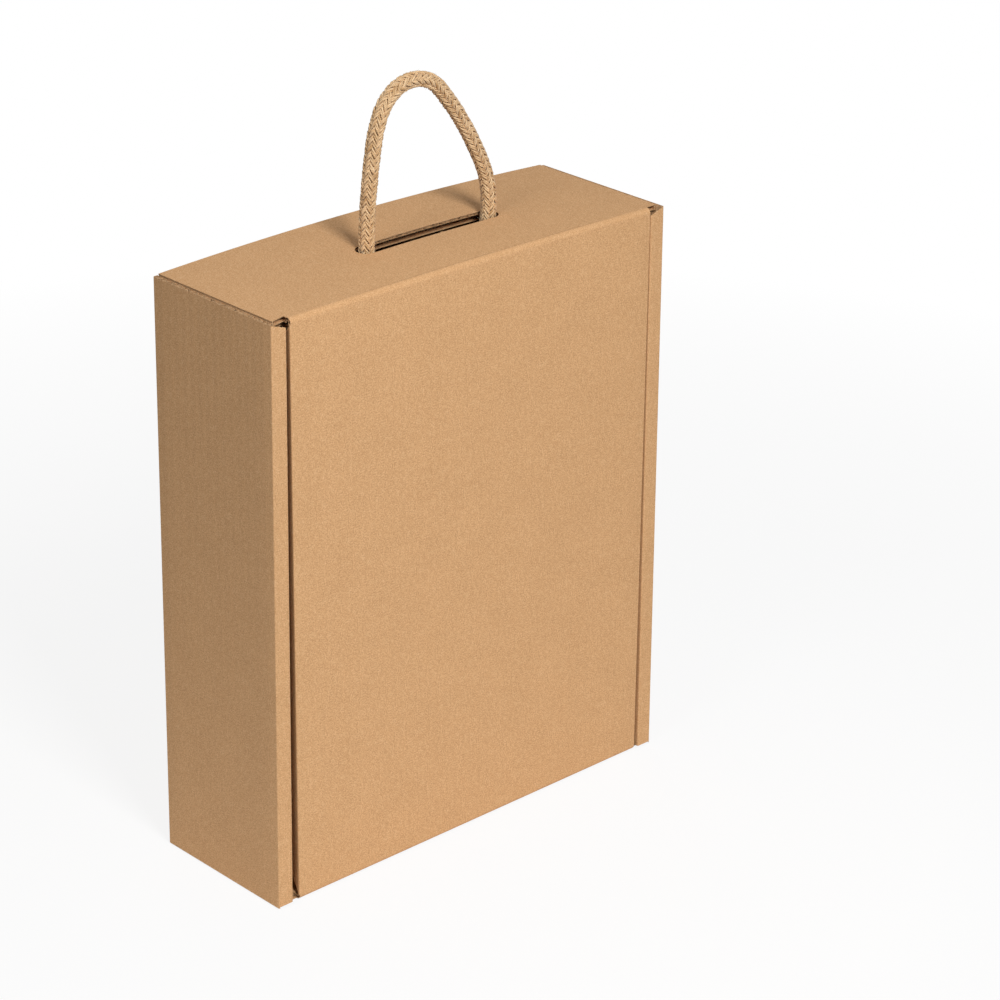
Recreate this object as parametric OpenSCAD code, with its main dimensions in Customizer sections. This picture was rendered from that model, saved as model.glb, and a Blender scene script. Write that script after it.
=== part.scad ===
// Folding carry box for bottles, in plain corrugated board, with a braided cord handle.
// X runs along the width, Y along the depth with the lid at the front (negative Y), Z is up.
// The origin is the middle of the base. All sizes are in millimetres.

/* [Box] */
// Outside width over the side panels at the top
box_w = 278; // [220:1:340]
// Outside depth from front to back
box_d = 96; // [84:1:130]
// Outside height at the top corners
box_h = 335; // [280:1:400]
// How far each side wall leans out at the base
foot_spread = 2.3; // [0:0.1:4]

/* [Board] */
// Thickness of the corrugated board
board_t = 3; // [2:0.1:3.6]
// Play between layers of board that lie side by side
layer_play = 0.4; // [0.3:0.05:0.6]
// Gap between the two sides of a crease that opens
crease_gap = 0.3; // [0.2:0.05:0.5]

/* [Side walls] */
// Outer radius of the upright folds, which run along the flutes
fold_round = 1.2; // [0.5:0.1:1.5]
// How far the front strips' tops slant down towards the lid
strip_slant = 3.3; // [1:0.1:6]
// Height of the front strips' lower ends above the base
strip_foot = 1; // [0.3:0.1:3]
// Height of the ears that lie inside the side walls
ear_len = 70; // [40:1:100]
// Distance of the ears from the front and back folds
ear_inset = 2; // [1:0.5:8]
// Radius of the ears' free corners
ear_round = 12; // [4:1:20]
// Length of the tabs that lock the inner panels in the back panel
tab_len = 30; // [15:1:50]
// Height of the lock tabs' middles above the base and below the top
tab_inset = 70; // [50:1:110]

/* [Lid] */
// Gap between the lid and each front strip at the top
lid_gap = 1.3; // [1.2:0.1:2]
// How far the lid sits to the right of the middle
lid_shift = 0.9; // [-0.9:0.1:0.9]
// Depth of the wings that tuck in beside the side walls
wing_depth = 45; // [38:1:58]
// Distance of the wings from the top and the bottom of the lid
wing_inset = 14; // [12:1:40]
// Radius of the wings' free corners
wing_round = 18; // [8:1:20]

/* [Closing flap] */
// Play between the closing flap and each side panel
flap_play = 0.6; // [0.4:0.1:1.5]
// How far the closing flap's corners stand above the side panels' tops
flap_proud = 0.9; // [0.2:0.1:2.5]
// Rise of the closing flap in the middle of its width
flap_bow = 2.4; // [2:0.1:6]
// How much further the closing flap rises than the top wall under it
flap_lift = 1.3; // [0:0.1:1.5]
// How far the closing flap's free edge stays in from the back
flap_inset = 1; // [0:0.1:4]
// Gap between a front strip and the closing flap's side corner
notch_outer = 0.6; // [0.4:0.1:4]
// Gap between a front strip and the closing flap beside the lid
notch_inner = 3; // [1:0.5:7]

/* [Handle] */
// Length of the cord slots
slot_len = 99; // [97:1:130]
// Width of the cord slots
slot_w = 12; // [10:0.5:14]
// How far the cord slots lie to the right of the middle
slot_x = 8; // [-15:1:15]
// How far the top wall's slot lies behind the closing flap's slot
slot_set_back = 1; // [0:0.5:2]
// Diameter of the braided cord
cord_d = 8; // [6:0.5:9]
// Diameter of the stopper knots
knot_d = 20; // [18:0.5:26]
// Length of the cord's loose end under each knot
knot_tail = 8; // [4:1:20]

/* [Hidden] */

kraft = "#c39b6b";
kraft_lid = "#caa273";
straw = "#c8a878";

// Rounds and bowed panels are cut this finely
$fn = 48;
bow_facets = 1440;
// Cutting shapes reach this far past the board
past = 2;

half_w = box_w / 2;
front_y = -box_d / 2;
back_y = box_d / 2;

// A side wall is three layers thick: outer panel, ear and inner panel
strip_w = 3 * board_t + 2 * layer_play;
inner_x = half_w - strip_w;
// The bottom and top walls and the closing flap lie between the outer side panels
tray_half_w = half_w - board_t - layer_play;
foot_half_w = tray_half_w + foot_spread;
flap_half_w = half_w - board_t - flap_play;
// Tops of the outer panels, of the top wall's ends and of the inner panels under the top wall
panel_top = box_h - flap_proud;
wall_top = box_h - board_t - layer_play;
inner_top = wall_top - board_t - layer_play;
floor_top = board_t + layer_play;
top_bow = flap_bow - flap_lift;

lid_half = inner_x - lid_gap;
function lid_edge(side) = side * lid_half + lid_shift;

// The side walls lean out from the top corners down to the base
lean_angle = atan(foot_spread / box_h);
function lean_at(z) = foot_spread * (1 - z / box_h);

// The knots hang under the top wall, one at each end of the slot
knot_play = 0.6;
knot_top = wall_top + top_bow - board_t - knot_play;

// The cord's route, from knot to knot, measured from the slot's middle at the height of the box
cord_sides = 10;
cord_end = knot_top - box_h;
cord_route = [
    [-43, cord_end], [-43, 6], [-42.5, 20], [-40.5, 40], [-38.5, 54], [-35, 69], [-29, 80], [-20, 86.5],
    [-8, 88], [3, 84], [12, 75], [21.5, 62.5], [30, 49], [37.5, 35], [42.5, 22], [44, 10], [43, cord_end]
];

// Quarter of a disc: the soft section of a fold across the flutes, filling the first quadrant
module bend_2d() {
    intersection() {
        circle(r = board_t);
        square(board_t);
    }
}

// The crisp section of a fold along the flutes, filling the first quadrant
module fold_2d() {
    flat = board_t - fold_round;
    square([board_t, flat]);
    square([flat, board_t]);
    translate([flat, flat]) circle(r = fold_round);
}

// Extrude a (y, z) outline along X, or an (x, z) outline along Y
module along_x(from, to) {
    translate([from, 0, 0]) rotate([90, 0, 90]) linear_extrude(to - from) children();
}

module along_y(from, to) {
    translate([0, to, 0]) rotate([90, 0, 0]) linear_extrude(to - from) children();
}

// Lean a part of the right side wall out
module lean() {
    translate([half_w, 0, box_h])
        rotate([0, -lean_angle, 0])
            translate([-half_w, 0, -box_h])
                children();
}

// Radius of a sheet that rises by rise over a half width
function bow_radius(half, rise) = (half * half + rise * rise) / (2 * rise);

// Bow a (depth below the top, y) section over the width, with its ends at end_z
module bowed(half, end_z, rise, reach = 0) {
    radius = bow_radius(half, rise);
    spread = asin((half + reach) / radius);
    translate([0, 0, end_z + rise - radius])
        rotate([90, 0, 0])
            rotate([0, 0, 90 - spread])
                rotate_extrude(angle = 2 * spread, $fn = bow_facets)
                    translate([radius, 0])
                        mirror([0, 1])
                            children();
}

// Everything that lies lower than drop under a bowed sheet's top
module under_bow(half, end_z, rise, drop) {
    radius = bow_radius(half, rise);
    translate([0, front_y - past, end_z + rise - radius])
        rotate([-90, 0, 0])
            cylinder(r = radius - drop, h = box_d + 2 * past, $fn = bow_facets);
}

// A tab that stands on its fold, with its two free corners round
module round_tab_2d(width, height, round) {
    square([width, height - round]);
    translate([round, 0]) square([width - 2 * round, height]);
    for (x = [round, width - round])
        translate([x, height - round]) circle(r = round);
}

// Slot with round ends, cut through a panel near the top
module cord_slot(set_back) {
    straight = slot_len - slot_w;
    translate([slot_x, set_back, box_h - 4 * board_t])
        linear_extrude(8 * board_t) {
            square([straight, slot_w], center = true);
            for (side = [-1, 1])
                translate([side * straight / 2, 0]) circle(d = slot_w);
        }
}

// Back panel, rounded into the bottom wall and slotted for the lock tabs
module back_panel() {
    side_x = half_w - board_t + layer_play;
    foot = side_x + lean_at(board_t);
    head = side_x + lean_at(box_h + board_t);
    difference() {
        union() {
            intersection() {
                along_y(back_y - board_t, back_y)
                    polygon([
                        [-foot, board_t],
                        [foot, board_t],
                        [head, box_h + board_t],
                        [-head, box_h + board_t]
                    ]);
                under_bow(tray_half_w, wall_top, top_bow, board_t);
            }
            along_x(-foot_half_w, foot_half_w)
                translate([back_y - board_t, board_t]) rotate(-90) bend_2d();
        }
        for (side = [0, 1])
            mirror([side, 0, 0])
                lean() lock_tabs(layer_play, back_y + past);
    }
}

// Two tabs of an inner panel, grown by clear to make their slots
module lock_tabs(clear, to_y) {
    from_y = back_y - board_t - layer_play - past;
    for (middle = [tab_inset, box_h - tab_inset])
        translate([inner_x - clear, from_y, middle - tab_len / 2 - clear])
            cube([board_t + 2 * clear, to_y - from_y, tab_len + 2 * clear]);
}

// Bottom wall: its front edge is cut back behind the strips and the lid
module bottom_wall() {
    flat_half = foot_half_w - board_t;
    along_y(front_y + board_t + crease_gap, back_y - board_t) {
        translate([-flat_half, 0]) square([2 * flat_half, board_t]);
        for (side = [0, 1])
            mirror([side, 0])
                translate([flat_half, board_t]) rotate(-90) bend_2d();
    }
    for (side = [0, 1])
        mirror([side, 0, 0])
            lean() translate([0, 0, board_t]) ear();
}

// Ear at the right, standing on its fold
module ear() {
    depth = box_d - 2 * (board_t + ear_inset);
    along_x(tray_half_w - board_t, tray_half_w)
        translate([-depth / 2, 0]) round_tab_2d(depth, ear_len, ear_round);
}

// Top wall, bowed, with its cord slot and its two ears hanging from its ends
module top_wall() {
    difference() {
        intersection() {
            bowed(tray_half_w, wall_top, top_bow, past) {
                translate([-board_t, front_y + board_t + layer_play])
                    square([board_t, box_d - 2 * board_t - layer_play]);
                translate([-board_t, back_y - board_t]) bend_2d();
            }
            along_y(front_y, back_y)
                translate([-tray_half_w, 0]) square([2 * tray_half_w, 2 * box_h]);
        }
        cord_slot(slot_set_back);
    }
    for (side = [0, 1])
        mirror([side, 0, 0])
            lean() translate([0, 0, wall_top - board_t / 2]) mirror([0, 0, 1]) ear();
}

// Right side wall: outer panel, front strip with a slanted top, inner panel with its lock tabs
module side_wall() {
    translate([0, 0, crease_gap])
        linear_extrude(panel_top - crease_gap) {
            translate([half_w - board_t, front_y + board_t]) square([board_t, box_d - 2 * board_t]);
            translate([half_w - board_t, back_y - board_t]) fold_2d();
            translate([half_w - board_t, front_y + board_t]) rotate(-90) fold_2d();
        }
    difference() {
        translate([0, 0, strip_foot])
            linear_extrude(panel_top - strip_foot) {
                translate([inner_x + board_t, front_y]) square([strip_w - 2 * board_t, board_t]);
                translate([inner_x + board_t, front_y + board_t]) rotate(180) fold_2d();
            }
        along_y(front_y - past, front_y + board_t + past)
            polygon([
                [half_w - board_t, panel_top],
                [inner_x, panel_top - strip_slant],
                [inner_x - past, panel_top - strip_slant],
                [inner_x - past, panel_top + past],
                [half_w - board_t, panel_top + past]
            ]);
    }
    translate([inner_x, front_y + board_t, floor_top])
        cube([board_t, box_d - 2 * board_t - layer_play, inner_top - floor_top]);
    lock_tabs(0, back_y);
}

module tray() {
    color(kraft) {
        back_panel();
        bottom_wall();
        top_wall();
        for (side = [0, 1])
            mirror([side, 0, 0])
                lean() side_wall();
    }
}

// One side of the lid: the fold at the lid's edge and the wing behind it
module lid_side() {
    translate([-board_t, front_y + board_t, -past])
        linear_extrude(box_h + flap_bow + past)
            rotate(-90) fold_2d();
    wing_height = box_h - 2 * wing_inset;
    along_x(-board_t, 0)
        translate([front_y + board_t, box_h - wing_inset])
            rotate(-90)
                round_tab_2d(wing_height, wing_depth - board_t, wing_round);
}

module lid() {
    color(kraft_lid)
        intersection() {
            under_bow(flap_half_w, box_h, flap_bow, board_t + crease_gap);
            union() {
                along_y(front_y, front_y + board_t)
                    translate([lid_edge(-1) + board_t, -past])
                        square([2 * (lid_half - board_t), box_h + flap_bow + past]);
                for (side = [-1, 1])
                    translate([lid_edge(side), 0, 0])
                        mirror([side < 0 ? 1 : 0, 0, 0])
                            lid_side();
            }
            // The section of the bottom crease, open towards the wings
            along_x(-half_w, half_w) {
                translate([front_y, board_t]) square([box_d, 2 * box_h]);
                translate([front_y + board_t, board_t]) rotate(180) bend_2d();
            }
        }
}

// Notch that frees the right or left corner of the closing flap behind the front strip
module corner_notch(side) {
    lid_x = lid_edge(side);
    side_x = side * flap_half_w;
    strip_back = front_y + board_t;
    translate([0, 0, box_h - 2 * board_t])
        linear_extrude(4 * board_t)
            polygon([
                [lid_x, front_y - past],
                [lid_x, strip_back + notch_inner],
                [side_x, strip_back + notch_outer],
                [side * half_w, strip_back + notch_outer],
                [side * half_w, front_y - past]
            ]);
}

module closing_flap() {
    color(kraft)
        difference() {
            bowed(flap_half_w, box_h, flap_bow) {
                translate([-board_t, front_y + board_t])
                    square([board_t, box_d - board_t - flap_inset]);
                translate([-board_t, front_y + board_t]) rotate(-90) bend_2d();
            }
            cord_slot(0);
            for (side = [-1, 1])
                corner_notch(side);
        }
}

// Points of a ring round the cord at one place of its route
function cord_ring(i) =
    let (
        last = len(cord_route) - 1,
        here = cord_route[i],
        along = i == 0 || i == last ? [0, 1] : cord_route[i + 1] - cord_route[i - 1],
        way = (i == last ? -1 : 1) * along / norm(along)
    )
    [for (k = [0 : cord_sides - 1])
        let (a = 360 * k / cord_sides, across = cord_d / 2 * sin(a))
        [here[0] - way[1] * across, cord_d / 2 * cos(a), here[1] + way[0] * across]];

module handle_cord() {
    rings = len(cord_route);
    points = [for (i = [0 : rings - 1]) each cord_ring(i)];
    walls = [for (i = [0 : rings - 2], k = [0 : cord_sides - 1])
        let (next = (k + 1) % cord_sides, low = i * cord_sides, high = low + cord_sides)
        [low + k, high + k, high + next, low + next]];
    first = [for (k = [0 : cord_sides - 1]) k];
    last = [for (k = [cord_sides - 1 : -1 : 0]) (rings - 1) * cord_sides + k];
    color(straw)
        translate([slot_x, 0, box_h])
            polyhedron(points, concat(walls, [first, last]));
}

// Knot of two turns round the cord, with the loose end under it
module stopper_knot() {
    turn_r = cord_d / 2;
    core_r = knot_d / 2 - turn_r;
    rotate_extrude() {
        translate([0, -4 * turn_r]) square([core_r, 4 * turn_r]);
        translate([0, -4 * turn_r - knot_tail]) square([turn_r, knot_tail]);
        for (turn = [0, 1])
            intersection() {
                translate([core_r, -(2 * turn + 1) * turn_r]) circle(r = turn_r);
                translate([0, -4 * turn_r]) square([knot_d, 4 * turn_r]);
            }
    }
}

module cord_knots() {
    legs = [cord_route[0], cord_route[len(cord_route) - 1]];
    color(straw)
        for (leg = legs)
            translate([slot_x + leg[0], 0, knot_top])
                stopper_knot();
}

tray();
lid();
closing_flap();
handle_cord();
cord_knots();
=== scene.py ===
# %% [markdown]
# A folding gift box for bottles, cut from one sheet of brown corrugated board, with a braided cord handle.
# The imported model gives the size, the moving bodies and the hinges. This lesson dresses it: the board gets
# its two liners and its flutes, the creases get real folds, and the cord gets its plaited strands.

# %% Load the frame
import math

import bpy
import numpy as np
from mathutils import Matrix, Vector


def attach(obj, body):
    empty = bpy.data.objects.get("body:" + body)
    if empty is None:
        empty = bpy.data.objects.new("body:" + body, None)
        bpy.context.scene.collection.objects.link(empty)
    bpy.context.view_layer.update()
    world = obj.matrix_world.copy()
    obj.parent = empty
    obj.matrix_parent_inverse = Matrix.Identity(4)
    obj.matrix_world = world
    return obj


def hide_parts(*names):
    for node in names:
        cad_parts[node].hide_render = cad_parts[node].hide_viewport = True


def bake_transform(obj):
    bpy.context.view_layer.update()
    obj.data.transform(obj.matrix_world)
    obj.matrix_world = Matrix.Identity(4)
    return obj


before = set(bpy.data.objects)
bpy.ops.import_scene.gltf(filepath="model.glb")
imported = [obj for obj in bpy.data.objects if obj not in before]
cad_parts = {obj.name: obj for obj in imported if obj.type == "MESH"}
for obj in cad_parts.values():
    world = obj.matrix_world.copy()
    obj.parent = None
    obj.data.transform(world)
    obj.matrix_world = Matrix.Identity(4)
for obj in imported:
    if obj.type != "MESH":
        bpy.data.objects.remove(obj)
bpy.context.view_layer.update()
MM = 0.001

# %% [markdown]
# The camera stands in front of the box, to its left and above it. Its place and its long lens were worked
# out from the corners of the box, so no lens shift is needed. The three axes are written out because the
# view has a small roll, which is easier to give as a matrix than as three angles.

# %% Camera
YAW, PITCH, ROLL = (math.radians(a) for a in (43.25, 24.07, 0.66))
LENS_PER_FRAME = 3.260
ahead = Vector((math.sin(YAW) * math.cos(PITCH), math.cos(YAW) * math.cos(PITCH), -math.sin(PITCH)))
level = Vector((math.cos(YAW), -math.sin(YAW), 0))
above = level.cross(ahead)
camera_x = level * math.cos(ROLL) + above * math.sin(ROLL)
camera_y = above * math.cos(ROLL) - level * math.sin(ROLL)

lens = bpy.data.cameras.new("camera")
lens.sensor_width = 36
lens.lens = lens.sensor_width * LENS_PER_FRAME
camera = bpy.data.objects.new("camera", lens)
camera.matrix_world = (
    Matrix.Translation((-1.08972, -1.22546, 0.91559))
    @ Matrix((camera_x, camera_y, -ahead)).transposed().to_4x4()
)
bpy.context.collection.objects.link(camera)
bpy.context.scene.camera = camera
print("camera", [round(v, 3) for v in camera.location], "lens", round(lens.lens, 1), "mm")

# %% [markdown]
# Materials are made of nodes, so two small helpers keep their recipes short: one adds a node with its
# settings and plain input values, the other joins an output to an input.

# %% Node helpers
def add_node(tree, kind, inputs=(), **settings):
    made = tree.nodes.new(kind)
    for name, value in settings.items():
        setattr(made, name, value)
    for name, value in dict(inputs).items():
        made.inputs[name].default_value = value
    return made


def join(tree, source, target):
    tree.links.new(source, target)


def new_material(name):
    made = bpy.data.materials.new(name)
    made.use_nodes = True
    tree = made.node_tree
    return made, tree, tree.nodes["Principled BSDF"]


def new_group(name, inputs, outputs):
    tree = bpy.data.node_groups.new(name, "ShaderNodeTree")
    for label, kind, value in inputs:
        socket = tree.interface.new_socket(label, in_out="INPUT", socket_type=kind)
        if value is not None:
            socket.default_value = value
    for label, kind in outputs:
        tree.interface.new_socket(label, in_out="OUTPUT", socket_type=kind)
    return tree, add_node(tree, "NodeGroupInput"), add_node(tree, "NodeGroupOutput")


def scaled(tree, vector, scale):
    made = add_node(tree, "ShaderNodeVectorMath", operation="MULTIPLY")
    join(tree, vector, made.inputs[0])
    made.inputs[1].default_value = scale
    return made.outputs[0]


def noise(tree, vector, scale, detail=3.0, roughness=0.55):
    made = add_node(
        tree, "ShaderNodeTexNoise", {"Scale": scale, "Detail": detail, "Roughness": roughness}
    )
    join(tree, vector, made.inputs["Vector"])
    return made.outputs["Fac"]


def remap(tree, value, low, high, to_low=0.0, to_high=1.0):
    made = add_node(
        tree,
        "ShaderNodeMapRange",
        {"From Min": low, "From Max": high, "To Min": to_low, "To Max": to_high},
    )
    join(tree, value, made.inputs["Value"])
    return made.outputs["Result"]


def tint(tree, factor, first, second):
    made = add_node(tree, "ShaderNodeMix", data_type="RGBA")
    join(tree, factor, made.inputs["Factor"])
    for value, socket in ((first, made.inputs[6]), (second, made.inputs[7])):
        if isinstance(value, bpy.types.NodeSocket):
            join(tree, value, socket)
        else:
            socket.default_value = value
    return made.outputs[2]


def math_node(tree, operation, *values):
    made = add_node(tree, "ShaderNodeMath", operation=operation)
    for value, socket in zip(values, made.inputs):
        if isinstance(value, bpy.types.NodeSocket):
            join(tree, value, socket)
        else:
            socket.default_value = value
    return made.outputs[0]


print("node helpers ready")

# %% [markdown]
# The handle is a cord of about 8 mm, plaited from 16 double yarns of natural fibre. It rises from one end of
# the slot, leans over at the top and comes down at the other end. Its route repeats the points of the
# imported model, and a natural cubic spline makes one smooth curve of them. A texture on a tube would look
# like print from close by, so the strands are modelled one by one.

# %% Cord route
SLOT_X = 8.0
BOX_H = 335.0
CORD_END = -5.9
CORD_STEP = 0.58
ROUTE = [
    (-43, CORD_END), (-43, 6), (-42.5, 20), (-40.5, 40), (-38.5, 54), (-35, 69), (-29, 80), (-20, 86.5),
    (-8, 88), (3, 84), (12, 75), (21.5, 62.5), (30, 49), (37.5, 35), (42.5, 22), (44, 10), (43, CORD_END),
]


def smooth_line(points, step):
    """Natural cubic spline through the points, with new points about step apart."""
    points = np.array(points, float)
    knots = np.concatenate([[0], np.cumsum(np.linalg.norm(np.diff(points, axis=0), axis=1))])
    gap = np.diff(knots)
    count = len(points)
    system = np.eye(count)
    right = np.zeros_like(points)
    for i in range(1, count - 1):
        system[i, i - 1 : i + 2] = gap[i - 1], 2 * (gap[i - 1] + gap[i]), gap[i]
        slopes = np.diff(points[i - 1 : i + 2], axis=0) / gap[i - 1 : i + 1, None]
        right[i] = 6 * (slopes[1] - slopes[0])
    bend = np.linalg.solve(system, right)
    at = np.linspace(0, knots[-1], int(round(knots[-1] / step)) + 1)
    i = np.clip(np.searchsorted(knots, at) - 1, 0, count - 2)
    h = gap[i][:, None]
    a = (knots[i + 1] - at)[:, None] / h
    b = 1 - a
    return a * points[i] + b * points[i + 1] + ((a**3 - a) * bend[i] + (b**3 - b) * bend[i + 1]) * h**2 / 6


route = [(SLOT_X + x, 0.0, BOX_H + z) for x, z in ROUTE]
cord_line = smooth_line(route, CORD_STEP)

# %% [markdown]
# In a tubular plait half of the yarns run round one way and half the other way, and each passes over two
# and under two. The places where one family rides high lie above each other, so the surface shows columns
# of small V shapes. Each yarn is doubled: two thin tubes side by side follow such a wavy helix round a core.

# %% Plaited strands
CARRIERS = 8
LAY = 33.0
PLAIT_R, CORE_R = 3.25, 2.4
OVER = 0.6
YARN_WIDE, YARN_THICK = 0.56, 0.56
YARN_APART = 0.145
YARN_SIDES = 6
YARN_SLACK = 0.1
CORE_SIDES = 10
FIBRE_R, FIBRE_ROOT = 0.05, 3.6
FIBRE_RINGS, FIBRE_SIDES = 5, 3


def frames_along(line):
    """Tangents and two crosswise directions that turn as little as possible along a line."""
    tangent = np.gradient(line, axis=0)
    tangent /= np.linalg.norm(tangent, axis=1)[:, None]
    first = np.cross(tangent[0], (0.0, 0.0, 1.0))
    if np.linalg.norm(first) < 0.2:
        first = np.array((0.0, 1.0, 0.0))
    across = []
    for t in tangent:
        first = first - t * first.dot(t)
        first = first / np.linalg.norm(first)
        across.append(first)
    across = np.array(across)
    return tangent, across, np.cross(tangent, across)


def tube_faces(rings, sides):
    """Quads round a tube and its two end faces."""
    k = np.arange(sides)
    after = (k + 1) % sides
    ring = np.arange(rings - 1)[:, None] * sides
    quads = np.stack([ring + k, ring + after, ring + sides + after, ring + sides + k], -1)
    ends = [list(k[::-1]), list((rings - 1) * sides + k)]
    return [list(map(int, q)) for q in quads.reshape(-1, 4)] + [list(map(int, e)) for e in ends]


def plait(line, seed):
    """Vertices, faces and yarn coordinates of a plaited cord along a line, in millimetres."""
    _, n1, n2 = frames_along(line)
    along = np.concatenate([[0], np.cumsum(np.linalg.norm(np.diff(line, axis=0), axis=1))])
    draw = np.random.default_rng(seed)
    points, faces, coords = [], [], []
    for strand in range(4 * CARRIERS):
        way = 1 if strand < 2 * CARRIERS else -1
        turn = 2 * math.pi * ((strand // 2 % CARRIERS) / CARRIERS + way * along / LAY)
        turn = turn + YARN_APART * (1 if strand % 2 else -1)
        out = np.cos(turn)[:, None] * n1 + np.sin(turn)[:, None] * n2
        slack = YARN_SLACK * np.sin(along / draw.uniform(4, 9) + draw.uniform(0, 6))
        rides = np.clip(1.3 * np.cos(CARRIERS * turn / 2 - math.pi / 4), -1, 1)
        radius = PLAIT_R + way * OVER * rides + slack
        middle = line + radius[:, None] * out
        run = np.gradient(middle, axis=0)
        run /= np.linalg.norm(run, axis=1)[:, None]
        flat = np.cross(run, out)
        flat /= np.linalg.norm(flat, axis=1)[:, None]
        angle = 2 * math.pi * np.arange(YARN_SIDES) / YARN_SIDES
        wide = YARN_WIDE * draw.uniform(0.88, 1.12)
        ring = (
            middle[:, None]
            + YARN_THICK * np.cos(angle)[None, :, None] * np.cross(flat, run)[:, None]
            + wide * np.sin(angle)[None, :, None] * flat[:, None]
        )
        start = len(points) * len(line) * YARN_SIDES
        points.append(ring.reshape(-1, 3))
        faces += [[start + i for i in face] for face in tube_faces(len(line), YARN_SIDES)]
        coord = np.empty((len(line), YARN_SIDES, 3))
        coord[..., 0] = along[:, None]
        coord[..., 1] = angle / (2 * math.pi)
        coord[..., 2] = strand + seed * 70
        coords.append(coord.reshape(-1, 3))
    return np.concatenate(points), faces, np.concatenate(coords)


def core(line):
    """The plain core inside the plait, which closes the view between the yarns."""
    _, n1, n2 = frames_along(line)
    angle = 2 * math.pi * np.arange(CORE_SIDES) / CORE_SIDES
    ring = np.cos(angle)[None, :, None] * n1[:, None] + np.sin(angle)[None, :, None] * n2[:, None]
    points = (line[:, None] + CORE_R * ring).reshape(-1, 3)
    return points, tube_faces(len(line), CORE_SIDES), points * 0.4


def loose_fibres(line, count, seed):
    """Short fibres that stand off a cord, as fine three-sided tubes."""
    draw = np.random.default_rng(seed)
    tangent, n1, n2 = frames_along(line)
    points, faces, coords = [], [], []
    for number in range(count):
        i = draw.integers(6, len(line) - 6)
        turn = draw.uniform(0, 2 * math.pi)
        out = math.cos(turn) * n1[i] + math.sin(turn) * n2[i]
        side = np.cross(tangent[i], out)
        way = tangent[i] * draw.uniform(-1, 1) + side * draw.uniform(-0.8, 0.8)
        lift, reach = draw.uniform(0.5, 1.6), draw.uniform(1.5, 3.5)
        steps = np.linspace(0, 1, FIBRE_RINGS)[:, None]
        curl = side * draw.uniform(-0.8, 0.8)
        middle = line[i] + out * (FIBRE_ROOT + lift * steps) + way * reach * steps + curl * steps**2
        angle = 2 * math.pi * np.arange(FIBRE_SIDES) / FIBRE_SIDES
        ring = middle[:, None] + FIBRE_R * (
            np.cos(angle)[None, :, None] * out + np.sin(angle)[None, :, None] * np.cross(out, way)
        )
        corners = FIBRE_RINGS * FIBRE_SIDES
        points.append(ring.reshape(-1, 3))
        faces += [[number * corners + k for k in face] for face in tube_faces(FIBRE_RINGS, FIBRE_SIDES)]
        coords.append(np.full((corners, 3), (i * CORD_STEP, 0.5, 90.0 + number)))
    return np.concatenate(points), faces, np.concatenate(coords)


def piece_from(name, parts, coordinate, materials, finishes=None, sharp=None):
    """One mesh object in metres from several lists of vertices, faces and surface coordinates."""
    shift, faces = 0, []
    for points, part_faces, _ in parts:
        faces += [[i + shift for i in face] for face in part_faces]
        shift += len(points)
    mesh = bpy.data.meshes.new(name)
    mesh.from_pydata(np.concatenate([p[0] for p in parts]) * MM, [], faces)
    layer = mesh.attributes.new(coordinate, "FLOAT_VECTOR", "POINT")
    layer.data.foreach_set("vector", np.concatenate([p[2] for p in parts]).astype(np.float32).ravel())
    for made in materials:
        mesh.materials.append(made)
    if finishes is not None:
        mesh.polygons.foreach_set("material_index", np.concatenate(finishes).astype(np.int32))
    mesh.shade_smooth()
    if sharp is not None:
        mesh.set_sharp_from_angle(angle=math.radians(sharp))
    mesh.update()
    made = bpy.data.objects.new(name, mesh)
    bpy.context.collection.objects.link(made)
    mesh.calc_loop_triangles()
    print(name, len(mesh.vertices), "vertices,", len(mesh.loop_triangles), "triangles")
    return made


# %% [markdown]
# Natural fibre yarn is straw coloured and dull. Along each yarn run fine fibres, some darker and some
# nearly white, and no two yarns have quite the same tone. The yarn coordinate of the mesh runs along and
# round each strand, so the streaks follow the plait wherever it bends.

# %% Cord finish
def jute_finish():
    made, tree, shader = new_material("jute_yarn")
    yarn = add_node(tree, "ShaderNodeAttribute", attribute_name="yarn")
    streaks = noise(tree, scaled(tree, yarn.outputs["Vector"], (0.35, 9.0, 3.7)), 1.0, 4.0, 0.65)
    patches = noise(tree, scaled(tree, yarn.outputs["Vector"], (0.09, 0.6, 5.3)), 1.0, 2.0)
    base = tint(tree, remap(tree, patches, 0.35, 0.65), (0.50, 0.29, 0.12, 1), (0.80, 0.56, 0.32, 1))
    pale = tint(tree, remap(tree, streaks, 0.52, 0.75, 0.0, 0.8), base, (0.98, 0.80, 0.56, 1))
    dark = tint(tree, remap(tree, streaks, 0.46, 0.28, 0.0, 0.8), pale, (0.26, 0.13, 0.04, 1))
    join(tree, dark, shader.inputs["Base Color"])
    join(tree, remap(tree, streaks, 0.2, 0.8, 0.62, 0.85), shader.inputs["Roughness"])
    bump = add_node(tree, "ShaderNodeBump", {"Strength": 0.6, "Distance": 0.00015})
    join(tree, streaks, bump.inputs["Height"])
    join(tree, bump.outputs["Normal"], shader.inputs["Normal"])
    shader.inputs["Sheen Weight"].default_value = 0.25
    shader.inputs["Sheen Roughness"].default_value = 0.5
    shader.inputs["Specular IOR Level"].default_value = 0.3
    return made


jute = jute_finish()
handle_parts = [plait(cord_line, 1), core(cord_line), loose_fibres(cord_line, 260, 5)]
handle = piece_from("handle_braid", handle_parts, "yarn", [jute])

# %% [markdown]
# Under the top wall each end of the cord is wrapped round itself into a stopper knot of two turns, and a
# short loose end hangs below. A knot bends much more tightly than the arch, so it has its own line: down
# the middle, out into two turns of a helix, and back to the middle. The same plait runs along it.

# %% Stopper knots
KNOT_TOP = BOX_H + CORD_END
KNOT_R = 5.8
KNOT_RISE = 15.5
KNOT_TURNS = 2
TAIL = 8.0
COIL_TOP, COIL_FOOT = 3.5, 3.0


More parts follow.
